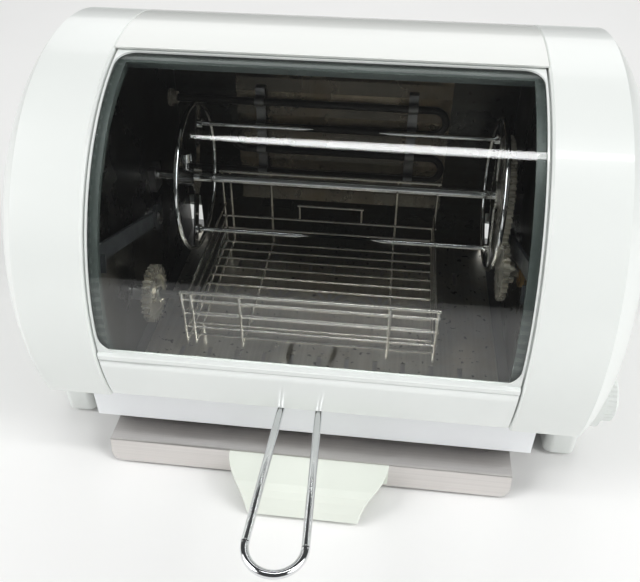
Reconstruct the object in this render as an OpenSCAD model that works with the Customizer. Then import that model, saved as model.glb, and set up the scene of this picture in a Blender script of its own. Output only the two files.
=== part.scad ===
// Countertop rotisserie oven with a barrel shaped body, a curved glass door that swings up
// about the barrel axis, a turning spit driven by a gear pair, and a drip tray that slides out.
// X runs to the right, Y to the back and Z up, in millimetres.

/* [Barrel] */
// Outer radius of the barrel shaped body
barrel_r = 180; // [179:0.5:182]
// Height of the barrel axis above the table
axis_z = 139; // [138:0.5:142]
// Half of the width between the two side casings
open_half = 155; // [154:0.5:156]
// Half of the width at the sharp rims of the casings
rim_half = 206; // [204:1:208]
// Half of the width over the domed casing sides
dome_half = 232; // [230:1:234]
// Distance from the barrel axis back to the flat back
back_y = 142; // [141:0.5:144]
// Height of the casings' lower front edge
casing_low_z = 79; // [78:0.5:80]
// Wall thickness of the moulded casings
casing_wall = 2.5; // [2:0.1:3]
// Width of the return lip around each casing's mouth
casing_lip = 13; // [12:0.5:14]

/* [Base] */
// Inner and outer side of the skirt under each casing
skirt_x = [201, 228]; // [200:1:230]
// Front face of the skirts, forward of the barrel axis
skirt_front = 122; // [118:1:126]
// Height of the skirts' underside, which the feet raise
foot_h = 4; // [3:0.5:6]
// Radius of a rubber foot
foot_r = 9; // [7:0.5:11]
// Front face of the base panel, forward of the barrel axis
panel_front = 152; // [150:1:154]
// Half width of the base panel
panel_half = 181; // [178:1:183]
// Height range of the base panel
panel_z = [35, 78]; // [34:1:78]
// Height of the chassis deck's top
deck_z = 50; // [49:0.5:51]

/* [Cavity] */
// Inner face of each cavity side wall
wall_x = 168; // [167:0.5:169]
// Thickness of the cavity sheet metal
sheet = 1.2; // [1:0.1:1.5]
// Outer radius of the rear liner's curved part
liner_r = 157; // [155:0.5:158]
// Rear face of the rear liner
liner_y = 122; // [120:0.5:123]

/* [Door] */
// Angle of the door's lower edge above the horizontal through the axis
door_low_t = -18.3; // [-18.6:0.1:-17.5]
// Angle of the lower edge of the glass
glass_low_t = -1.9; // [-3:0.1:-1]
// Angle of the door's upper edge
door_top_t = 76.8; // [76:0.1:77.5]
// Half width of the door
door_half = 153.5; // [152:0.5:153.5]
// Outer radius of the glass, and its thickness
glass_r = 176; // [175:0.5:176]
// Thickness of the glass
glass_t = 2.6; // [2:0.1:3]
// Angle of the swing arms with the door closed
arm_t = 20; // [15:1:25]
// Wire diameter of the door handle
wire_d = 6; // [5:0.5:7]
// Side position of the handle's middle
handle_x = -5; // [-8:0.5:0]
// Half gap between the handle's legs at the door
leg_half = 14.5; // [13:0.5:16]
// Radius of the handle's round end
loop_r = 20; // [18:0.5:22]
// Reach of the handle, from its bend to the centre of its round end
handle_reach = 122; // [110:1:125]
// Downward slope of the handle
handle_droop = 1; // [0:0.5:2]

/* [Spit] */
// Spit axis, behind the barrel axis
spit_y = 20; // [19:0.5:21]
// Spit axis, above the table
spit_z = 173; // [172:0.5:174]
// Radius of the spit rod
rod_r = 4; // [3.5:0.1:4.5]
// Radius of a spit wheel
wheel_r = 68; // [64:1:70]
// Side positions of the left and right spit wheels
wheel_x = [-125, 144]; // [-126:1:145]
// Length of a tine
tine_l = 105; // [90:1:108]
// Radius of the wire that a spit wheel's ring is bent from
wheel_wire = 2.2; // [1.8:0.1:2.5]
// Distance from the spit axis to a tine
tine_off = 48; // [44:1:50]
// Gear module
gear_m = 1.75; // [1.7:0.05:1.8]
// Teeth on the spit gear
gear_n = 58; // [58:1:58]
// Teeth on the drive pinion
pinion_n = 27; // [27:1:27]
// Direction from the spit axis to the pinion axis
pinion_dir = 209; // [208:0.5:210]
// Width of the gears
gear_w = 6; // [5:0.5:7]

/* [Tray] */
// Half width of the drip tray's front
tray_half = 167; // [165:0.5:168]
// Half width of the drip tray's basin
basin_half = 158; // [155:0.5:158]
// Height of the tray's rim
tray_z = 24; // [22:0.5:25]
// Front bend of the tray, forward of the barrel axis
tray_front = 168; // [166:0.5:170]
// Front wall of the tray's basin, forward of the barrel axis
basin_front = 136; // [134:0.5:138]
// Back wall of the tray's basin, behind the barrel axis
basin_back = 108; // [104:1:110]
// Middle of the tray's grip, from the oven's middle
grip_x = 2; // [0:0.5:3]
// Half width of the grip where it leaves the tray
grip_half = 66; // [60:1:70]
// How much the grip narrows on each side towards its edge
grip_taper = 24; // [16:1:30]
// How far the grip reaches out of the tray's front
grip_reach = 45.6; // [42:0.2:48]
// Tray sheet thickness
tray_t = 0.8; // [0.6:0.1:1]

/* [Timer] */
// Knob centre, forward of the barrel axis and above the table
knob_at = [-124, 79]; // [-125:0.5:80]
// Knob radius
knob_r = 19.5; // [18:0.5:20]
// Inner and outer face of the knob
knob_x = [228, 240]; // [228:0.5:242]

/* [Hidden] */
$fa = 3;
$fs = 0.6;
eps = 0.02;
dome_arc = 80;                               // radius of the casings' domed shoulder
dome_r0 = barrel_r - sqrt(pow(dome_arc, 2) - pow(rim_half - dome_half + dome_arc, 2)); // where it turns flat
screw_head = 1.4;                            // how far a back screw's head stands out
mouth_x = open_half + casing_wall;
pinion_c = gear_m * (gear_n + pinion_n) / 2;
pinion_at = [spit_y + pinion_c * cos(pinion_dir), spit_z + pinion_c * sin(pinion_dir)];
gear_x = [148, 148 + gear_w];
idler_at = [-63, 99];                        // axis of the small toothed wheel on the left wall
idler_n = 28;
idler_x = [-154, -147];
heater_y = 100;
heater_r = 3.5;
heater_z = [214, 189, 164, 139];             // the four runs, from the top down
heater_in = -95;
heater_out = 88;
basket_x = [-118, 100];
basket_y = [-84, 82];
basket_z = [64, 118];
basket_back_z = 148;
latch_x = [-39, 25];                          // loop of wire at the back of the basket
latch_z = 112;
basket_wire = 1.2;
floor_t = 0.9;                               // thickness of the slotted floor over the tray
tine_dir = 65;                               // direction of the upper tine from the spit axis
timer_x = [205, 224];
pod_x = [203, 227];
pod_r = 24.5;
cover_t = [75.5, 142];                        // front and rear edge of the top cover
running_gap = 0.05;                          // radial play of a shaft in its bore
idler_r = 4;
front_tilt = atan(4.5 / 19.8);               // lean of the tray's front wall

// Handle in the Y-Z plane: straight down out of the door, round a bend, then forward
leg_at = [-157, 85];
bend_r = 6;
reach_dir = [-cos(handle_droop), -sin(handle_droop)];
bend_at = [leg_at[0] - bend_r, leg_at[1]];
reach_start = bend_at + bend_r * [sin(handle_droop), -cos(handle_droop)];
loop_at = reach_start + handle_reach * reach_dir;
handle_tip_y = loop_at[0] + loop_r * reach_dir[0] - wire_d / 2;

// The finished model stands on the origin at the middle of its bounding box
mid_x = (knob_x[1] - dome_half) / 2;
mid_y = (back_y + screw_head + handle_tip_y) / 2;

// ---------- shared shapes ----------

function arc_points(c, r, a0, a1, n) =
    [for (i = [0:n]) c + r * [cos(a0 + (a1 - a0) * i / n), sin(a0 + (a1 - a0) * i / n)]];

function round_rect(x0, y0, x1, y1, r) = concat(
    arc_points([x1 - r, y1 - r], r, 0, 90, 6), arc_points([x0 + r, y1 - r], r, 90, 180, 6),
    arc_points([x0 + r, y0 + r], r, 180, 270, 6), arc_points([x1 - r, y0 + r], r, 270, 360, 6));

function on_barrel(r, t) = [-r * cos(t), axis_z + r * sin(t)];

module place() translate([-mid_x, -mid_y, 0]) children();

// Children drawn in (Y, Z) become a slab from x0 to x1
module along_x(x0, x1) translate([x0, 0, 0]) rotate([90, 0, 90]) linear_extrude(x1 - x0) children();

// Children drawn in (X, Z) become a slab from y0 to y1
module along_y(y0, y1) translate([0, y1, 0]) rotate([90, 0, 0]) linear_extrude(y1 - y0) children();

module rod_x(x0, x1, r, at) translate([x0, at[0], at[1]]) rotate([0, 90, 0]) cylinder(r = r, h = x1 - x0);

module box(lo, hi) translate(lo) cube(hi - lo);

// A round bar between two points
module bar(a, b, r) {
    d = b - a;
    len = norm(d);
    translate(a) rotate([0, acos(d[2] / len), atan2(d[1], d[0])]) cylinder(r = r, h = len);
}

// Children drawn in (radius, X) swept about the barrel axis from angle t0 up to t1
module sweep(t0, t1) translate([0, 0, axis_z]) rotate([0, 90, 0]) rotate([0, 0, 270 - t1])
    rotate_extrude(angle = t1 - t0) children();

module shell(r0, r1, x0, x1, t0, t1) sweep(t0, t1) translate([r0, x0]) square([r1 - r0, x1 - x0]);

module gear_shape(m, n, turn) {
    r = m * n / 2;
    step = 360 / n;
    polygon([for (i = [0:n - 1]) for (p = [[-0.31, -1.15], [-0.12, 0.85], [0.12, 0.85], [0.31, -1.15]])
        let (a = turn + (i + p[0]) * step) (r + p[1] * m) * [cos(a), sin(a)]]);
}

// ---------- casings ----------

module dome_body(inset) {
    centre = [dome_r0, dome_half - dome_arc];
    arc = dome_arc - inset;
    a_rim = acos((barrel_r - inset - dome_r0) / arc);
    translate([0, 0, axis_z]) rotate([0, 90, 0]) rotate_extrude()
        polygon(concat([[0, open_half + inset], [barrel_r - inset - 1.5, open_half + inset],
            [barrel_r - inset, open_half + inset + 1.5]],
            arc_points(centre, arc, a_rim, 90, 22), [[0, dome_half - inset]]));
}

module barrel_box(inset) box([open_half - 1, -barrel_r - 1, casing_low_z + inset],
    [dome_half + 1, back_y - inset, axis_z + barrel_r + 1]);

module skirt(inset, top_z) translate([0, 0, foot_h + inset]) linear_extrude(top_z - foot_h - inset)
    polygon(round_rect(skirt_x[0] + inset, inset - skirt_front,
        skirt_x[1] - inset, back_y - inset, 7 - inset));

module casing() {
    difference() {
        union() {
            intersection() {
                dome_body(0);
                barrel_box(0);
            }
            skirt(0, casing_low_z + 1);
        }
        intersection() {
            dome_body(casing_wall);
            barrel_box(casing_wall);
        }
        skirt(casing_wall, casing_low_z + 4);
        intersection() {
            rod_x(open_half - 1, mouth_x + 1, barrel_r - casing_lip, [0, axis_z]);
            box([open_half - 2, -barrel_r, casing_low_z + casing_lip],
                [mouth_x + 2, back_y - casing_lip, axis_z + barrel_r]);
        }
        box([open_half - 1, -skirt_front, casing_low_z - 1],
            [wall_x + sheet + 0.6, liner_y + 0.6, casing_low_z + casing_lip + 1]);
        intersection() {
            rod_x(open_half - 1.5, wall_x + sheet + 0.3, barrel_r - casing_lip - 0.3, [0, axis_z]);
            box([open_half - 2, -barrel_r, casing_low_z - 1.4],
                [wall_x + sheet + 2, 1 - skirt_front, casing_low_z + casing_lip + 0.7]);
        }
    }
}

module left_casing() color("whitesmoke") mirror([1, 0, 0]) casing();

module right_casing() color("whitesmoke") difference() {
    union() {
        casing();
        rod_x(pod_x[0], pod_x[1], pod_r, knob_at);
    }
    rod_x(pod_x[0] - 1, pod_x[1] - casing_wall, pod_r - 2, knob_at);
    rod_x(pod_x[1] - 0.3, dome_half + 2, knob_r + 2.5, knob_at);
    rod_x(pod_x[1] - 3, pod_x[1] + 6, 3.6, knob_at);
}

module top_cover() color("whitesmoke") shell(barrel_r - 1.4, barrel_r, -open_half, open_half,
    cover_t[0], cover_t[1]);

module back_panel() color("gainsboro") difference() {
    box([-open_half, back_y - sheet, 20], [open_half, back_y, 248.5]);
    for (x = [-96:16:96]) for (z = [150, 190])
        box([x - 2.5, back_y - 3, z], [x + 2.5, back_y + 1, z + 28]);
    for (x = [-100:20:60])
        box([x, back_y - 3, 70], [x + 12, back_y + 1, 75]);
    translate([120, back_y + 1, 62]) rotate([90, 0, 0]) cylinder(r = 7.1, h = 4);
}

module cord_gland() color("dimgray") translate([120, 0, 62]) difference() {
    union() {
        translate([0, back_y + screw_head, 0]) rotate([90, 0, 0]) cylinder(r = 9, h = screw_head);
        translate([0, back_y + 0.5, 0]) rotate([90, 0, 0]) cylinder(r = 7, h = 9);
    }
    translate([0, back_y + 3, 0]) rotate([90, 0, 0]) cylinder(r = 3.6, h = 20);
}

module back_screws() color("silver") for (x = [-148, 148]) for (z = [34, 140, 236])
    translate([x, back_y + screw_head, z]) rotate([90, 0, 0]) difference() {
        cylinder(r = 3.2, h = screw_head);
        translate([-0.5, -2.2, -0.5]) cube([1, 4.4, 1.1]);
        translate([-2.2, -0.5, -0.5]) cube([4.4, 1, 1.1]);
    }

module rubber_feet() color("dimgray") for (s = [-1, 1]) for (y = [-104, 124])
    translate([s * (skirt_x[0] + skirt_x[1]) / 2, y, 0]) union() {
        cylinder(r1 = foot_r - 1, r2 = foot_r, h = 1.2);
        translate([0, 0, 1.1]) cylinder(r = foot_r, h = foot_h - 1.1);
    }

// ---------- base ----------

module base_panel() color("whitesmoke") difference() {
    box([-panel_half, -panel_front, panel_z[0]], [panel_half, -skirt_front, panel_z[1]]);
    half = panel_half - 2;
    box([-half, -panel_front + 2, panel_z[0] + 2], [half, -skirt_front + 1, panel_z[1] - 2]);
    box([-half, -panel_front + 16, panel_z[0] - 1], [half, -skirt_front + 1, panel_z[0] + 3]);
}

module base_frame() color("darkgray") union() {
    for (s = [-1, 1]) {
        box([s * 180.25 - 0.75, -120, 8], [s * 180.25 + 0.75, 138, deck_z - sheet]);
        box([s * 170.5 - 9.5, -120, 21.4], [s * 170.5 + 9.5, 130, 22.9]);
        box([s * 191 - 10, -108, 30], [s * 191 + 10, -92, 31.5]);
        box([s * 191 - 10, 92, 30], [s * 191 + 10, 108, 31.5]);
    }
    box([-180.5, 136.5, 30], [180.5, 138, deck_z - sheet]);
}

module deck() color("silver") difference() {
    union() {
        box([-181, -120.5, deck_z - sheet], [181, 138, deck_z]);
        box([-panel_half + 2, -panel_front + 2, deck_z - sheet], [panel_half - 2, -120, deck_z]);
        box([-skirt_x[0], -110, deck_z - sheet], [skirt_x[0], 130, deck_z]);
    }
    box([-148, -108, deck_z - sheet - 1], [148, 104, deck_z + 1]);
}

module tray_cover() color("silver") difference() {
    box([-basin_half, -142, deck_z], [basin_half, 116, deck_z + floor_t]);
    for (x = [-100, -50, 0, 50, 100]) for (k = [-2:2])
        translate([x, 0, deck_z - 1]) rotate([0, 0, k * 36]) translate([-2, 5, 0]) cube([4, 17, 4]);
    for (x = [-125:25:125]) for (y = [-86, 56])
        box([x - 2, y - 10, deck_z - 1], [x + 2, y + 10, deck_z + 3]);
}

// ---------- cavity ----------

module wall_sheet() difference() {
    intersection() {
        rod_x(wall_x, wall_x + sheet, 176, [0, axis_z]);
        box([wall_x - 1, -177, deck_z], [wall_x + sheet + 1, liner_y - 1.5, axis_z + 180]);
    }
    box([wall_x - 1, -178, deck_z - 1], [wall_x + sheet + 1, -skirt_front + 0.6, panel_z[1] + 4]);
}

module left_wall() color("gray") mirror([1, 0, 0]) difference() {
    union() {
        wall_sheet();
        shell(173.8, 175.2, mouth_x, wall_x + 0.5, -16, 136);
    }
    for (z = [heater_z[0], heater_z[3]]) rod_x(wall_x - 1, wall_x + sheet + 1, 6.1, [heater_y, z]);
}

module right_wall() color("gray") difference() {
    union() {
        wall_sheet();
        shell(173.8, 175.2, mouth_x, wall_x + 0.5, -16, 136);
    }
    rod_x(wall_x - 1, wall_x + sheet + 1, 8.1, pinion_at);
}

module liner_outline(inset) {
    intersection() {
        translate([0, axis_z]) circle(liner_r - inset);
        translate([-8, 190]) square([8 + liner_y - inset, 130]);
    }
    translate([-8, deck_z - inset]) square([8 + liner_y - inset, 160]);
}

module rear_liner() color("gray") difference() {
    along_x(-wall_x, wall_x) difference() {
        liner_outline(0);
        liner_outline(sheet);
        translate([-10, deck_z - 2]) square([10, 260]);
        translate([-10, deck_z - 2]) square([liner_y + 8.5, 100]);
    }
    for (s = [-1, 1]) box([s * 164 - 9, liner_y - 3, deck_z - 1], [s * 164 + 9, liner_y + 1, 93]);
}

module reflector() color("gainsboro") union() {
    along_x(-105, 105) polygon(concat(
        [for (i = [0:12]) [i % 2 == 0 ? 112 : 115.5, 100 + i * 12]],
        [for (i = [12:-1:0]) [i % 2 == 0 ? 113 : 116.5, 100 + i * 12]]));
    box([-105, 112, 243.2], [105, 114.2, 244.4]);
}

// A half turn of tube in the X-Z plane, opening towards -X, or towards +X when s is -1
module half_turn(x, z, s, r, bend) {
    short = 0.35 / bend * 180 / PI;
    translate([x, heater_y, z]) rotate([90, 0, 0]) rotate([0, 0, s * 90 - 180 + short])
        rotate_extrude(angle = 180 - 2 * short) translate([bend, 0]) circle(r);
    for (k = [-1, 1]) translate([x, heater_y, z + k * bend]) sphere(r + 0.12);
}

module heating_element() color("#2b2b2b") union() {
    for (i = [0:3]) rod_x(i == 0 || i == 3 ? -184 : heater_in + 0.35, heater_out - 0.35, heater_r,
        [heater_y, heater_z[i]]);
    for (i = [0, 2]) half_turn(heater_out, (heater_z[i] + heater_z[i + 1]) / 2, 1, heater_r, 12.5);
    half_turn(heater_in, (heater_z[1] + heater_z[2]) / 2, -1, heater_r, 12.5);
}

module heater_clips() color("darkgray") for (x = [-84, 64]) union() {
    box([x, heater_y + 4.4, 128], [x + 9, heater_y + 6, 226]);
    for (z = [128, 224]) box([x, heater_y + 5.5, z], [x + 9, 112.4, z + 2]);
    for (z = heater_z) difference() {
        rod_x(x, x + 9, heater_r + 1.2, [heater_y, z]);
        rod_x(x - 1, x + 10, heater_r + running_gap, [heater_y, z]);
    }
}

module heater_bushings() color("linen") for (z = [heater_z[0], heater_z[3]]) difference() {
    union() {
        rod_x(-176, -160, 6, [heater_y, z]);
        rod_x(-168, -165, 8.5, [heater_y, z]);
    }
    rod_x(-177, -159, heater_r + running_gap, [heater_y, z]);
}

module thermal_cutout() color("gainsboro") union() {
    translate([-20, liner_y, 150]) rotate([-90, 0, 0]) cylinder(r = 9, h = 8);
    for (s = [-1, 1]) box([-20 + s * 6 - 1.5, liner_y + 7, 149.6], [-20 + s * 6 + 1.5, liner_y + 14, 150.4]);
}

module wiring() color("firebrick") {
    run = [[-188, 104.5, 214], [-188, 126, 214], [-188, 126, 96],
        [192, 126, 96], [192, -60, 96], [201.5, -116, 87]];
    union() {
        for (i = [0:4]) bar(run[i], run[i + 1], 1.5);
        for (i = [1:4]) translate(run[i]) sphere(r = 1.8);
        bar([120, 126, 96], [120, 131, 66], 1.5);
    }
}

// Wires lie on one another and sink in a little where they are welded
module wire_basket() color("silver") union() {
    w = basket_wire;
    sink = 2 * w - 0.4;
    for (x = [basket_x[0], -110, -68, 60, basket_x[1]]) {
        bar([x, basket_y[0], basket_z[0] - w], [x, basket_y[0], basket_z[1]], w);
        bar([x, basket_y[1], basket_z[0] - w], [x, basket_y[1], basket_back_z], w);
        bar([x, basket_y[0] - w, basket_z[0]], [x, basket_y[1] + w, basket_z[0]], w);
    }
    for (i = [0:10]) rod_x(basket_x[0] - 2, basket_x[1] + 2, w,
        [basket_y[0] + 8 + 15 * i, basket_z[0] + sink]);
    for (z = [80, 95, 110]) rod_x(basket_x[0] - 2, basket_x[1] + 2, w, [basket_y[0] + sink, z]);
    rod_x(basket_x[0] - 2, basket_x[1] + 2, w + 0.4, [basket_y[0] + sink, basket_z[1]]);
    for (z = [80, 95]) rod_x(basket_x[0] - 2, basket_x[1] + 2, w, [basket_y[1] - sink, z]);
    rod_x(basket_x[0] - 2, basket_x[1] + 2, w + 0.4, [basket_y[1] - sink, basket_back_z - 1]);
    rod_x(latch_x[0] - 2, latch_x[1] + 2, w, [basket_y[1] - sink, latch_z]);
    for (x = latch_x)
        bar([x, basket_y[1] - sink + 0.9, 94], [x, basket_y[1] - sink + 0.9, latch_z + 0.5], w - 0.1);
    for (s = [0, 1]) for (z = [80, 95, 110])
        bar([basket_x[s] + (s == 0 ? 1 : -1) * sink, basket_y[0] + 2.3, z],
            [basket_x[s] + (s == 0 ? 1 : -1) * sink, basket_y[1] - 2.3, z], w);
    for (x = [-110, 60]) for (y = [-60, 60])
        bar([x, y, deck_z + floor_t], [x, y, basket_z[0]], w + 0.3);
}

// ---------- door carriers and drive, fixed ----------

module pivot_pin() union() {
    rod_x(163.6, wall_x, 8, [0, axis_z]);
    rod_x(159, 163.7, idler_r, [0, axis_z]);
    rod_x(157.6, 159.4, 6.5, [0, axis_z]);
}

module door_pivot_pins() color("silver") union() {
    pivot_pin();
    mirror([1, 0, 0]) pivot_pin();
}

module spit_cradle() difference() {
    box([161.8, spit_y - 9, spit_z - 14], [wall_x, spit_y + 9, spit_z + 8]);
    rod_x(160, wall_x + 1, rod_r + running_gap, [spit_y, spit_z]);
    box([160, spit_y - rod_r - running_gap, spit_z], [wall_x + 1, spit_y + rod_r + running_gap, spit_z + 10]);
}

module left_spit_cradle() color("dimgray") mirror([1, 0, 0]) spit_cradle();

module right_spit_cradle() color("dimgray") spit_cradle();

module drive_bushing() color("goldenrod") difference() {
    union() {
        rod_x(164, wall_x + sheet + 1, 8, pinion_at);
        rod_x(165, wall_x, 12, pinion_at);
    }
    rod_x(163, wall_x + sheet + 2, rod_r + running_gap, pinion_at);
}

module gearbox() color("silver") difference() {
    union() {
        translate([wall_x + sheet + 1, pinion_at[0] - 26, pinion_at[1] - 26]) cube([14, 52, 62]);
        for (p = [[-32, -20], [32, -20], [0, 42]])
            rod_x(wall_x + sheet, wall_x + sheet + 5, 5, pinion_at + 0.9 * p);
    }
    rod_x(wall_x, wall_x + sheet + 9, rod_r + running_gap, pinion_at);
}

module motor() color("silver") union() {
    rod_x(184.5, 208, 20, pinion_at + [0, 8]);
    rod_x(207.5, 211, 8, pinion_at + [0, 8]);
}

module gear_stub() color("silver") union() {
    rod_x(-wall_x, -154.5, 7, idler_at);
    rod_x(-155, -146.2, idler_r, idler_at);
    rod_x(-146.4, -144.6, 6, idler_at);
    box([-145, idler_at[0] - 2.5, idler_at[1] - 2.5], [-128, idler_at[0] + 2.5, idler_at[1] + 2.5]);
}

module timer_body() color("ivory") difference() {
    union() {
        rod_x(timer_x[0], timer_x[1], 17, knob_at);
        rod_x(timer_x[0] - 1.6, timer_x[0] + 0.4, pod_r - 2.2, knob_at);
        rod_x(timer_x[1] - 1, knob_x[0] + 9, 3, knob_at);
    }
    rod_x(timer_x[0] - 3, timer_x[0] - 0.6, 8, knob_at);
}

module dial_mark(a0, a1, r0, r1) intersection() {
    difference() {
        dome_body(-0.3);
        dome_body(0);
    }
    along_x(open_half + 40, dome_half + 4) polygon([for (q = [[r0, a0], [r1, a0], [r1, a1], [r0, a1]])
        knob_at + q[0] * [cos(q[1]), sin(q[1])]]);
}

module dial_ticks() color("#333333") for (a = [48, 62, 76, 90, 118]) dial_mark(a - 1.1, a + 1.1, 44, 52);

module dial_band() color("darkorange") dial_mark(99, 110, 45, 51);

// ---------- door ----------

module radial(t, x) translate([x, 0, axis_z]) rotate([90 - t, 0, 0]) children();

// Rounded end of the door's opening, lying in the plane that touches the barrel at angle t
module opening_end(t, s, half, r_corner) radial(t, 0) translate([0, 0, 165]) linear_extrude(20)
    polygon(concat([[half, s * 24], [-half, s * 24]],
        [for (p = arc_points([-half + r_corner, r_corner], r_corner, 180, 270, 8)) [p[0], s * p[1]]],
        [for (p = arc_points([half - r_corner, r_corner], r_corner, 270, 360, 8)) [p[0], s * p[1]]]));

module door_opening(r_corner) {
    top_t = door_top_t - 1.5;
    half = door_half - 1.3;
    shell(168, 184, -half - 0.06, half + 0.06, glass_low_t + 6, top_t - 6);
    opening_end(glass_low_t, 1, half, r_corner);
    opening_end(top_t, -1, half, r_corner);
}

module door_surround() color("whitesmoke") union() {
    difference() {
        shell(glass_r, glass_r + 1.4, -door_half, door_half, glass_low_t - 0.7, door_top_t);
        door_opening(14);
    }
    difference() {
        shell(173.4, 179.5, -door_half, door_half, door_low_t, glass_low_t - 0.1);
        shell(172, 177, -door_half + 2.5, door_half - 2.5, door_low_t + 0.9, glass_low_t - 1.3);
    }
    shell(179.2, 179.9, -door_half, door_half, glass_low_t - 1.8, glass_low_t - 0.6);
}

module door_glass() color("#aab4b0") shell(glass_r - glass_t, glass_r, -door_half + 1, door_half - 1,
    glass_low_t, door_top_t - 0.2);

module door_inner_frame() color("slategray") union() {
    for (s = [-1, 1]) {
        shell(160, glass_r - glass_t, s * 151.25 - 1.25, s * 151.25 + 1.25,
            door_low_t + 0.3, door_top_t - 0.3);
        shell(171.4, glass_r - glass_t, s * 148.5 - 2.5, s * 148.5 + 2.5,
            door_low_t + 0.3, door_top_t - 0.3);
    }
    shell(171.4, glass_r - glass_t, -151, 151, door_top_t - 4, door_top_t - 0.3);
    shell(162, 172, -151, 151, door_top_t - 1.1, door_top_t - 0.3);
    difference() {
        shell(159, glass_r - glass_t, -151, 151, door_low_t + 0.3, -13.2);
        for (x = [handle_x - leg_half, handle_x + leg_half])
            bar([x, leg_at[0], 80], [x, leg_at[0], 97], wire_d / 2 + running_gap);
    }
}

// Straight wires stop short of the bends, and a ball closes each joint
module door_handle() color("silver") {
    r = wire_d / 2;
    gap = 0.35;
    far = norm([leg_half, handle_reach]);
    wrap = acos(loop_r / far) - atan2(handle_reach, leg_half);
    touch = loop_r * [cos(wrap), sin(wrap)];
    joint = loop_at + touch[1] * reach_dir;
    bend_short = gap / bend_r * 180 / PI;
    loop_short = gap / loop_r * 180 / PI;
    translate([handle_x, 0, 0]) union() {
        for (s = [-1, 1]) {
            root = [s * leg_half, reach_start[0], reach_start[1]];
            end = [s * touch[0], joint[0], joint[1]];
            along = (end - root) / norm(end - root);
            bar([s * leg_half, leg_at[0], leg_at[1] + gap], [s * leg_half, leg_at[0], 96.5], r);
            translate([s * leg_half, leg_at[0], leg_at[1]]) sphere(r + 0.12);
            translate([s * leg_half, bend_at[0], bend_at[1]]) rotate([0, 90, 0])
                rotate([0, 0, handle_droop + bend_short])
                rotate_extrude(angle = 90 - handle_droop - 2 * bend_short) translate([bend_r, 0]) circle(r);
            translate(root) sphere(r + 0.12);
            bar(root + gap * along, end - gap * along, r);
            translate(end) sphere(r + 0.12);
        }
        translate([0, loop_at[0], loop_at[1]]) rotate([handle_droop, 0, 0])
            rotate([0, 0, 180 + wrap + loop_short])
            rotate_extrude(angle = 180 - 2 * wrap - 2 * loop_short) translate([loop_r, 0]) circle(r);
    }
}

module door_arm() difference() {
    union() {
        rod_x(160, 163.4, 12, [0, axis_z]);
        translate([160.4, 0, axis_z]) rotate([-arm_t, 0, 0]) translate([0, -159, -7]) cube([2.8, 152, 14]);
        shell(157.6, 159.9, 146, 162.8, arm_t - 2.4, arm_t + 2.4);
    }
    rod_x(159, 165, idler_r + running_gap, [0, axis_z]);
}

module left_door_arm() color("#333333") mirror([1, 0, 0]) door_arm();

module right_door_arm() color("#333333") door_arm();

// ---------- spit ----------

module spit_rod() color("silver") union() {
    rod_x(-163, 166.5, rod_r, [spit_y, spit_z]);
    translate([-166.5, spit_y, spit_z]) rotate([0, 90, 0]) cylinder(r1 = 2, r2 = rod_r, h = 3.6);
}

// A wire ring with a flat bar across it, which the tines are riveted to
module spit_wheel(x) difference() {
    ring_r = wheel_r - wheel_wire;
    union() {
        translate([x + 0.8, spit_y, spit_z]) rotate([0, 90, 0]) rotate_extrude()
            translate([ring_r, 0]) circle(wheel_wire);
        translate([x, spit_y, spit_z]) rotate([tine_dir, 0, 0])
            translate([0, -ring_r, -6]) cube([1.6, 2 * ring_r, 12]);
        rod_x(x, x + 1.6, 14, [spit_y, spit_z]);
    }
    rod_x(x - 1, x + 3, rod_r + running_gap, [spit_y, spit_z]);
}

module left_spit_wheel() color("silver") spit_wheel(wheel_x[0] - 0.8);

module right_spit_wheel() color("silver") spit_wheel(wheel_x[1] - 0.8);

module tines(x, s) for (a = [tine_dir, tine_dir + 180])
    translate([x, spit_y + tine_off * cos(a), spit_z + tine_off * sin(a)]) rotate([0, s * 90, 0]) union() {
        cylinder(r = 4, h = 4);
        translate([0, 0, 3.6]) cylinder(r = 2, h = tine_l - 14);
        translate([0, 0, tine_l - 10.6]) cylinder(r1 = 2, r2 = 0.4, h = 10);
    }

module left_tines() color("silver") tines(wheel_x[0] + 0.8, 1);

module right_tines() color("silver") tines(wheel_x[1] - 0.8, -1);

module left_hub() color("silver") difference() {
    union() {
        rod_x(-143, wheel_x[0] - 0.8, 8.5, [spit_y, spit_z]);
        translate([-134, spit_y, spit_z]) cylinder(r = 3, h = 18);
        translate([-134, spit_y, spit_z + 16]) cylinder(r = 6, h = 8);
    }
    rod_x(-144, -120, rod_r + running_gap, [spit_y, spit_z]);
}

module right_hub() color("silver") difference() {
    rod_x(wheel_x[1] + 0.8, gear_x[0], 12, [spit_y, spit_z]);
    rod_x(140, 160, rod_r + running_gap, [spit_y, spit_z]);
}

module spit_gear() color("silver") difference() {
    translate([gear_x[0], spit_y, spit_z]) along_x(0, gear_w)
        gear_shape(gear_m, gear_n, pinion_dir + 180 / gear_n);
    rod_x(gear_x[0] - 1, gear_x[1] + 1, rod_r + running_gap, [spit_y, spit_z]);
    difference() {
        rod_x(gear_x[1] - 2, gear_x[1] + 1, 43, [spit_y, spit_z]);
        rod_x(gear_x[1] - 3, gear_x[1] + 2, 13, [spit_y, spit_z]);
    }
}

module drive_pinion() color("silver") union() {
    translate([gear_x[0] + 0.5, pinion_at[0], pinion_at[1]]) along_x(0, gear_w - 1)
        gear_shape(gear_m, pinion_n, pinion_dir - 180);
    rod_x(gear_x[1] - 1, gear_x[1] + 6, 9, pinion_at);
    rod_x(gear_x[1] - 1, wall_x + sheet + 8, rod_r, pinion_at);
}

module basket_gear() color("silver") difference() {
    translate([idler_x[0], idler_at[0], idler_at[1]]) along_x(0, 7) gear_shape(gear_m, idler_n, 4);
    rod_x(idler_x[0] - 1, idler_x[1] + 1, idler_r + running_gap, idler_at);
    difference() {
        rod_x(idler_x[1] - 2, idler_x[1] + 1, 18, idler_at);
        rod_x(idler_x[1] - 3, idler_x[1] + 2, 8, idler_at);
    }
}

// ---------- drip tray ----------

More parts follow.
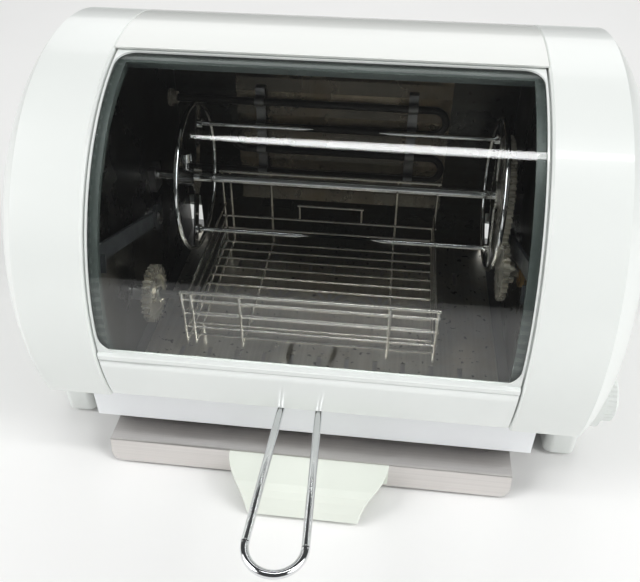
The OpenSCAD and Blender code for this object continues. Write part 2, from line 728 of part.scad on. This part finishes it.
module drip_tray() color("silver") difference() {
    union() {
        difference() {
            box([-basin_half, -basin_front, 4], [basin_half, basin_back, tray_z]);
            box([-basin_half + tray_t, -basin_front + tray_t, 4 + tray_t],
                [basin_half - tray_t, basin_back - tray_t, tray_z + 1]);
        }
        difference() {
            box([-tray_half, -tray_front + 0.3, tray_z - tray_t], [tray_half, basin_back + 4, tray_z]);
            box([0.4 - basin_half, 0.4 - basin_front, tray_z - 2],
                [basin_half - 0.4, basin_back - 0.4, tray_z + 1]);
        }
        intersection() {
            translate([0, -tray_front, 0]) along_x(-tray_half, tray_half) polygon([[1.2, tray_z - tray_t],
                [0.8, tray_z], [-0.4, tray_z - 0.3], [-0.9, tray_z - 1.2], [-5.4, 3], [-4.5, 3],
                [0, tray_z - 1.6]]);
            along_y(-tray_front - 8, -tray_front + 2)
                polygon(round_rect(-tray_half, 2.9, tray_half, tray_z + 12, 9));
        }
    }
    at_rivets() translate([0, 0, -3]) cylinder(r = 1.6, h = 6);
}

// Half width of the grip at a part u of its reach
function grip_side(u) = grip_half - grip_taper * pow(u, 1.8);

// A shelf to push and pull on, which curls down at its edge and has a pad against the tray's front
module tray_handle() color("white") difference() {
    back = -tray_front - 1;
    front = -tray_front - grip_reach;
    intersection() {
        along_x(-grip_half - 10, grip_half + 10) polygon([[back, 22.8], [back - 0.6, 24.2], [back - 2, 24.6],
            [front + 15.6, 24.4], [front + 9.6, 22.8], [front + 5.6, 19], [front + 2, 11.5], [front, 4.4],
            [front + 1, 3.2], [front + 2.2, 4.2], [front + 4.2, 11.6], [front + 7.6, 17.4],
            [front + 11, 20.4], [front + 16, 22], [back - 4, 22.2], [back - 2.2, 21],
            [back - 5.5, 6.4], [back - 3.74, 6]]);
        translate([grip_x, 0, 0]) linear_extrude(40)
            polygon(concat([[-grip_half, -150], [grip_half, -150]],
                [for (i = [0:10]) [grip_side(i / 10), back - grip_reach * i / 10]],
                [for (i = [10:-1:0]) [-grip_side(i / 10), back - grip_reach * i / 10]]));
    }
    at_rivets() translate([0, 0, -3]) cylinder(r = 1.6, h = 6);
}

// Places square to the tray's sloping front, on its outer face
module at_rivets() for (x = [grip_x - 36, grip_x + 36])
    translate([x, -tray_front - 3.13, 13]) rotate([90 - front_tilt, 0, 0]) children();

module tray_rivets() color("silver") at_rivets() union() {
    translate([0, 0, -1.95]) cylinder(r = 3, h = 1);
    translate([0, 0, -1.4]) cylinder(r = 1.5, h = 3.6);
    translate([0, 0, 1.85]) cylinder(r1 = 3.2, r2 = 2, h = 1.1);
}

// ---------- timer knob ----------

module timer_knob() color("white") difference() {
    union() {
        rod_x(knob_x[0], knob_x[0] + 2.5, knob_r + 1, knob_at);
        translate([knob_x[0] + 2, knob_at[0], knob_at[1]]) along_x(0, knob_x[1] - knob_x[0] - 4)
            polygon([for (i = [0:59]) (knob_r - (i % 2) * 0.8) * [cos(i * 6), sin(i * 6)]]);
        translate([knob_x[1] - 2.1, knob_at[0], knob_at[1]]) rotate([0, 90, 0])
            cylinder(r1 = knob_r - 0.9, r2 = knob_r - 3, h = 2.1);
    }
    rod_x(knob_x[0] - 1, knob_x[0] + 9.5, 3 + running_gap, knob_at);
    translate([knob_x[1] - 1, knob_at[0], knob_at[1]]) translate([0, -1, 6]) cube([3, 2, 10]);
}

place() left_casing();
place() right_casing();
place() top_cover();
place() back_panel();
place() cord_gland();
place() back_screws();
place() rubber_feet();
place() base_panel();
place() base_frame();
place() deck();
place() tray_cover();
place() left_wall();
place() right_wall();
place() rear_liner();
place() reflector();
place() heating_element();
place() heater_clips();
place() heater_bushings();
place() thermal_cutout();
place() wiring();
place() wire_basket();
place() door_pivot_pins();
place() left_spit_cradle();
place() right_spit_cradle();
place() drive_bushing();
place() gearbox();
place() motor();
place() gear_stub();
place() timer_body();
place() dial_ticks();
place() dial_band();
place() door_surround();
place() door_glass();
place() door_inner_frame();
place() door_handle();
place() left_door_arm();
place() right_door_arm();
place() spit_rod();
place() left_spit_wheel();
place() right_spit_wheel();
place() left_tines();
place() right_tines();
place() left_hub();
place() right_hub();
place() spit_gear();
place() drive_pinion();
place() basket_gear();
place() drip_tray();
place() tray_handle();
place() tray_rivets();
place() timer_knob();
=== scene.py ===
"""Looks of the countertop rotisserie oven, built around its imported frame.

The row frame stands on the table: X to the oven's right, Y to its back, Z up, in metres.
"""
import math

import bpy
from mathutils import Matrix, Vector

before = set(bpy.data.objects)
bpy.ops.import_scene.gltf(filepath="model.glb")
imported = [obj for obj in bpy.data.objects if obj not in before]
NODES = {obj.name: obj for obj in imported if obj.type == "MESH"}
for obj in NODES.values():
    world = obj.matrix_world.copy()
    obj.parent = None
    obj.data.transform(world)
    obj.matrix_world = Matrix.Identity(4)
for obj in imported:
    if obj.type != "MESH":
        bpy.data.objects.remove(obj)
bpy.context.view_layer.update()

# ---------- camera ----------
CAMERA_AT = (0.0479, -0.4590, 0.4915)   # metres, in the row frame
CAMERA_YAW = 6.36                       # degrees turned left of +Y
CAMERA_PITCH = 38.0                     # degrees below the horizon
CAMERA_ROLL = 0.37
CAMERA_LENS = 39.86                     # mm, on a 36 mm wide sensor


def make_camera():
    yaw, pitch, roll = (math.radians(a) for a in (CAMERA_YAW, CAMERA_PITCH, CAMERA_ROLL))
    forward = Vector((-math.sin(yaw) * math.cos(pitch), math.cos(yaw) * math.cos(pitch), -math.sin(pitch)))
    level = Vector((math.cos(yaw), math.sin(yaw), 0))
    upright = level.cross(forward)
    right = math.cos(roll) * level + math.sin(roll) * upright
    up = -math.sin(roll) * level + math.cos(roll) * upright
    turn = Matrix((right, up, -forward)).transposed().to_4x4()
    data = bpy.data.cameras.new("camera")
    data.sensor_width = 36
    data.lens = CAMERA_LENS
    data.clip_start = 0.01
    camera = bpy.data.objects.new("camera", data)
    camera.matrix_world = Matrix.Translation(CAMERA_AT) @ turn
    bpy.context.collection.objects.link(camera)
    bpy.context.scene.camera = camera


# ---------- node helpers ----------

class Nodes:
    """A material's node tree, with short calls to add and join nodes."""

    def __init__(self, name):
        self.material = bpy.data.materials.new(name)
        self.material.use_nodes = True
        self.tree = self.material.node_tree
        self.tree.nodes.clear()
        self.out = self.add("ShaderNodeOutputMaterial")
        self.shader = self.add("ShaderNodeBsdfPrincipled")
        self.join(self.shader.outputs[0], self.out.inputs["Surface"])
        self.coords = self.add("ShaderNodeTexCoord").outputs["Object"]

    def add(self, kind, **values):
        node = self.tree.nodes.new(kind)
        for key, value in values.items():
            setattr(node, key, value)
        return node

    def join(self, a, b):
        self.tree.links.new(a, b)

    def set(self, **values):
        for key, value in values.items():
            socket = self.shader.inputs[key.replace("_", " ")]
            if isinstance(value, bpy.types.NodeSocket):
                self.join(value, socket)
            elif socket.type == "RGBA" and len(value) == 3:
                socket.default_value = (*value, 1)
            else:
                socket.default_value = value

    def scaled(self, x, y, z):
        node = self.add("ShaderNodeMapping")
        node.inputs["Scale"].default_value = (x, y, z)
        self.join(self.coords, node.inputs["Vector"])
        return node.outputs[0]

    def noise(self, scale, detail=3.0, rough=0.5, coords=None):
        node = self.add("ShaderNodeTexNoise")
        node.inputs["Scale"].default_value = scale
        node.inputs["Detail"].default_value = detail
        node.inputs["Roughness"].default_value = rough
        self.join(coords or self.coords, node.inputs["Vector"])
        return node.outputs["Fac"]

    def ramp(self, fac, *stops):
        node = self.add("ShaderNodeValToRGB")
        stops = [(at, colour if len(colour) == 4 else (*colour, 1)) for at, colour in stops]
        while len(node.color_ramp.elements) < len(stops):
            node.color_ramp.elements.new(0.5)
        for element, (at, colour) in zip(node.color_ramp.elements, stops):
            element.position = at
            element.color = colour
        self.join(fac, node.inputs["Fac"])
        return node.outputs["Color"]

    def levels(self, fac, low, high, out_low, out_high):
        node = self.add("ShaderNodeMapRange")
        for key, value in zip(("From Min", "From Max", "To Min", "To Max"), (low, high, out_low, out_high)):
            node.inputs[key].default_value = value
        self.join(fac, node.inputs["Value"])
        return node.outputs[0]

    def mix(self, fac, a, b):
        node = self.add("ShaderNodeMix", data_type="RGBA")
        for socket, value in ((node.inputs[0], fac), (node.inputs[6], a), (node.inputs[7], b)):
            if isinstance(value, bpy.types.NodeSocket):
                self.join(value, socket)
            elif socket.type == "RGBA":
                socket.default_value = (*value, 1)
            else:
                socket.default_value = value
        return node.outputs[2]

    def bump(self, height, strength, distance):
        node = self.add("ShaderNodeBump")
        node.inputs["Strength"].default_value = strength
        node.inputs["Distance"].default_value = distance
        self.join(height, node.inputs["Height"])
        self.join(node.outputs[0], self.shader.inputs["Normal"])


# ---------- materials ----------

def white_plastic(name, colour, gloss, scuffing=0.07):
    """Moulded gloss plastic: faint clouding, orange peel, fine scuffs in the gloss."""
    n = Nodes(name)
    cloud = n.noise(9, 2)
    tint = n.ramp(cloud, (0.3, tuple(c * 0.975 for c in colour)), (0.7, colour))
    scuffs = n.noise(1.0, 3, 0.7, n.scaled(90, 700, 700))
    roughness = n.levels(scuffs, 0.35, 0.75, gloss - scuffing / 4, gloss + scuffing * 3 / 4)
    n.set(Base_Color=tint, Roughness=roughness, Coat_Weight=0.3, Coat_Roughness=0.06)
    n.bump(n.noise(360, 2), 0.02, 0.0003)
    return n.material


def sheet_metal(name, colour, rough, grease=0.0, grain=(2, 2, 260), spots=0.0, contrast=0.18):
    """Rolled sheet: fine grain along one direction, brown baked-on grease, dark specks."""
    n = Nodes(name)
    streak = n.noise(1.0, 4, 0.6, n.scaled(*grain))
    blotch = n.noise(14, 6, 0.6)
    brown = tuple(c * k for c, k in zip(colour, (0.66, 0.52, 0.36)))
    clean = n.ramp(streak, (0.3, tuple(c * (1 - contrast) for c in colour)), (0.7, colour))
    dirty = n.mix(n.levels(blotch, 0.42, 0.72, 0.0, grease), clean, brown)
    specks = n.levels(n.noise(230, 2, 0.4), 0.66, 0.72, 0.0, spots)
    n.set(Base_Color=n.mix(specks, dirty, (0.02, 0.015, 0.01)), Metallic=1.0,
          Roughness=n.levels(blotch, 0.3, 0.75, rough - 0.05, rough + 0.14))
    n.bump(streak, 0.12, 0.0003)
    return n.material


def chrome(name, colour=(0.82, 0.83, 0.84), rough=0.06):
    """Bright plated metal with smears in its gloss."""
    n = Nodes(name)
    smear = n.noise(35, 4)
    n.set(Base_Color=n.ramp(smear, (0.3, tuple(c * 0.9 for c in colour)), (0.7, colour)), Metallic=1.0,
          Roughness=n.levels(smear, 0.3, 0.7, rough, rough + 0.06))
    n.bump(n.noise(300, 2), 0.02, 0.0002)
    return n.material


def painted(name, colour, rough, metallic=0.0, contrast=0.2):
    """Sprayed or plain surface: cloudy colour of the given contrast, and fine grit."""
    n = Nodes(name)
    cloud = n.noise(25, 4)
    tint = n.ramp(cloud, (0.3, tuple(c * (1 - contrast) for c in colour)), (0.7, colour))
    n.set(Base_Color=tint, Metallic=metallic,
          Roughness=n.levels(n.noise(90, 3), 0.3, 0.7, rough - 0.06, rough + 0.08))
    n.bump(n.noise(500, 3), 0.05, 0.0003)
    return n.material


GLASS_TINT = (0.97, 0.985, 0.975)


def door_glass(name):
    """Clear glass with a faint greasy film; light passes straight through it."""
    n = Nodes(name)
    film = n.noise(20, 3)
    n.set(Base_Color=GLASS_TINT, Roughness=n.levels(film, 0.45, 0.8, 0.0, 0.003),
          IOR=1.05, Transmission_Weight=1.0, Coat_Weight=1.0, Coat_Roughness=0.03, Coat_IOR=1.5)
    clear = n.add("ShaderNodeBsdfTransparent")
    clear.inputs["Color"].default_value = (*GLASS_TINT, 1)
    choice = n.add("ShaderNodeMixShader")
    n.join(n.add("ShaderNodeLightPath").outputs["Is Shadow Ray"], choice.inputs["Fac"])
    n.join(n.shader.outputs[0], choice.inputs[1])
    n.join(clear.outputs[0], choice.inputs[2])
    n.join(choice.outputs[0], n.out.inputs["Surface"])
    return n.material


def dress(node, material):
    slots = NODES[node].data.materials
    slots.clear()
    slots.append(material)


WHITE = white_plastic("white_plastic", (0.85, 0.88, 0.855), 0.3)
BAND = white_plastic("band_plastic", (0.87, 0.90, 0.88), 0.16)
PANEL = white_plastic("panel_enamel", (0.95, 0.97, 0.99), 0.34)
COVER = white_plastic("cover_enamel", (0.81, 0.83, 0.80), 0.24, 0.04)
GRIP = white_plastic("grip_plastic", (0.85, 0.89, 0.81), 0.3)
BACK = painted("back_paint", (0.62, 0.62, 0.60), 0.45, 0.0, 0.04)
CAVITY = sheet_metal("cavity_sheet", (0.07, 0.07, 0.065), 0.26, 0.7, spots=0.5)
REFLECTOR = sheet_metal("reflector_sheet", (0.30, 0.27, 0.22), 0.24, 0.8, (260, 2, 2), 0.4)
FLOOR_SHEET = sheet_metal("floor_sheet", (0.86, 0.84, 0.78), 0.3, 0.5, (260, 2, 2), 0.7)
TRAY = sheet_metal("brushed_steel", (0.76, 0.73, 0.71), 0.32, 0.0, (3, 900, 900), 0.0, 0.1)
CHASSIS = sheet_metal("chassis_sheet", (0.24, 0.24, 0.24), 0.35, 0.1)
CHROME = chrome("chrome")
BASKET_WIRE = chrome("basket_wire", (0.92, 0.89, 0.83), 0.2)
ZINC = chrome("zinc", (0.45, 0.45, 0.45), 0.25)
GEAR = painted("gear_metal", (0.62, 0.59, 0.51), 0.28, 0.9, 0.35)
BLACK = painted("arm_black", (0.02, 0.022, 0.024), 0.35)
SHEATH = painted("heater_sheath", (0.02, 0.018, 0.016), 0.34, 0.4)
FRAME_PAINT = painted("door_frame_paint", (0.06, 0.075, 0.07), 0.36, 0.3)
CERAMIC = painted("ceramic", (0.20, 0.18, 0.15), 0.5)
RUBBER = painted("rubber", (0.05, 0.05, 0.05), 0.7)
SLEEVE = painted("wire_sleeve", (0.45, 0.06, 0.05), 0.5)
BRONZE = painted("bronze", (0.42, 0.28, 0.12), 0.35, 1.0)
PRINT_BLACK = painted("print_black", (0.06, 0.06, 0.06), 0.5)
PRINT_ORANGE = painted("print_orange", (0.75, 0.30, 0.06), 0.5)
GLASS = door_glass("door_glass")

LOOKS = {
    "left_casing": WHITE, "right_casing": WHITE, "top_cover": COVER, "back_panel": BACK,
    "cord_gland": RUBBER, "back_screws": ZINC, "rubber_feet": RUBBER, "base_panel": PANEL,
    "base_frame": CHASSIS, "deck": CHASSIS, "tray_cover": FLOOR_SHEET, "left_wall": CAVITY,
    "right_wall": CAVITY, "rear_liner": CAVITY, "reflector": REFLECTOR, "heating_element": SHEATH,
    "heater_clips": CHASSIS, "heater_bushings": CERAMIC, "thermal_cutout": ZINC, "wiring": SLEEVE,
    "wire_basket": BASKET_WIRE, "door_pivot_pins": ZINC, "left_spit_cradle": CHASSIS,
    "right_spit_cradle": CHASSIS, "drive_bushing": BRONZE, "gearbox": CHASSIS, "motor": CHASSIS,
    "gear_stub": ZINC, "timer_body": CERAMIC, "dial_ticks": PRINT_BLACK, "dial_band": PRINT_ORANGE,
    "door_surround": BAND, "door_glass": GLASS, "door_inner_frame": FRAME_PAINT,
    "door_handle": CHROME, "left_door_arm": BLACK, "right_door_arm": BLACK, "spit_rod": CHROME,
    "left_spit_wheel": CHROME, "right_spit_wheel": CHROME, "left_tines": CHROME,
    "right_tines": CHROME, "left_hub": CHROME, "right_hub": ZINC, "spit_gear": GEAR,
    "drive_pinion": GEAR, "basket_gear": GEAR, "drip_tray": TRAY, "tray_handle": GRIP,
    "tray_rivets": ZINC, "timer_knob": WHITE,
}
for node, material in LOOKS.items():
    dress(node, material)


# ---------- softened edges ----------

def soften(width, angle, *names):
    """Rounds the sharp edges of these nodes a little, so that they catch the light."""
    for name in names:
        bevel = NODES[name].modifiers.new("soft_edges", "BEVEL")
        bevel.width = width
        bevel.segments = 3
        bevel.limit_method = "ANGLE"
        bevel.angle_limit = math.radians(angle)
        bevel.harden_normals = True
        bevel.use_clamp_overlap = True


soften(0.0010, 33, "left_casing", "right_casing")
soften(0.0006, 40, "door_surround", "base_panel", "timer_knob", "back_panel")
soften(0.0004, 40, "tray_handle", "top_cover", "rubber_feet")
soften(0.00025, 30, "drip_tray", "spit_gear", "drive_pinion", "basket_gear")


# ---------- studio ----------
# The tube light hangs where the curved glass mirrors it as a bright bar across the door
TUBE_AT = (0.17, -0.26, 1.3)
TUBE_SIZE = (1.12, 0.08)
# The wide lights stand at the sides and behind, where that glass doesn't mirror them
SIDE_AT = (1.75, -0.85, 0.95)
SIDE_SIZE = (2.0, 1.7)
BACK_AT = (0.0, 1.8, 1.6)
BACK_SIZE = (2.6, 1.5)
FLOOR_HALF = 6.0

def area_light(name, at, aim, size, radiance, shape="RECTANGLE"):
    data = bpy.data.lights.new(name, "AREA")
    data.shape = shape
    data.size, data.size_y = size
    data.energy = radiance * math.pi * size[0] * size[1]
    light = bpy.data.objects.new(name, data)
    light.location = at
    light.rotation_euler = (Vector(aim) - Vector(at)).to_track_quat("-Z", "Y").to_euler()
    bpy.context.collection.objects.link(light)
    return light


def studio_world():
    """Dim surroundings, so that the glass stays dark, with a pale backdrop behind the floor."""
    world = bpy.data.worlds.new("studio")
    world.use_nodes = True
    tree = world.node_tree
    dim = tree.nodes["Background"]
    pale = tree.nodes.new("ShaderNodeBackground")
    for node, strength in ((dim, 0.06), (pale, 0.42)):
        node.inputs["Color"].default_value = (0.96, 0.98, 1.0, 1)
        node.inputs["Strength"].default_value = strength
    choice = tree.nodes.new("ShaderNodeMixShader")
    tree.links.new(tree.nodes.new("ShaderNodeLightPath").outputs["Is Camera Ray"], choice.inputs["Fac"])
    tree.links.new(dim.outputs[0], choice.inputs[1])
    tree.links.new(pale.outputs[0], choice.inputs[2])
    tree.links.new(choice.outputs[0], tree.nodes["World Output"].inputs["Surface"])
    bpy.context.scene.world = world


def sun_light(name, direction, irradiance, spread):
    data = bpy.data.lights.new(name, "SUN")
    data.energy = irradiance
    data.angle = math.radians(spread)
    light = bpy.data.objects.new(name, data)
    light.rotation_euler = Vector(direction).to_track_quat("-Z", "Y").to_euler()
    bpy.context.collection.objects.link(light)


def studio():
    mesh = bpy.data.meshes.new("floor")
    corners = [(x * FLOOR_HALF, y * FLOOR_HALF, 0) for x, y in ((-1, -1), (1, -1), (1, 1), (-1, 1))]
    mesh.from_pydata(corners, [], [(0, 1, 2, 3)])
    floor = bpy.data.objects.new("floor", mesh)
    bpy.context.collection.objects.link(floor)
    n = Nodes("floor_paper")
    n.set(Base_Color=n.ramp(n.noise(3, 2), (0.3, (0.92, 0.92, 0.91)), (0.7, (0.94, 0.94, 0.93))),
          Roughness=0.85, Specular_IOR_Level=0.2)
    floor.data.materials.append(n.material)
    studio_world()
    bpy.context.scene.view_settings.view_transform = "Standard"
    tube = area_light("tube", TUBE_AT, (TUBE_AT[0], TUBE_AT[1], 0), TUBE_SIZE, 9.5, "ELLIPSE")
    tube.rotation_euler = (0, 0, 0)
    for side in (-1, 1):
        area_light("side", (side * SIDE_AT[0], *SIDE_AT[1:]), (0, 0, 0.08), SIDE_SIZE, 1.95, "ELLIPSE")
        sun_light("sky", (-side, 0.3, -1.0), 0.75, 25)
    area_light("back", BACK_AT, (0, 0, 0.1), BACK_SIZE, 1.5)


make_camera()
studio()
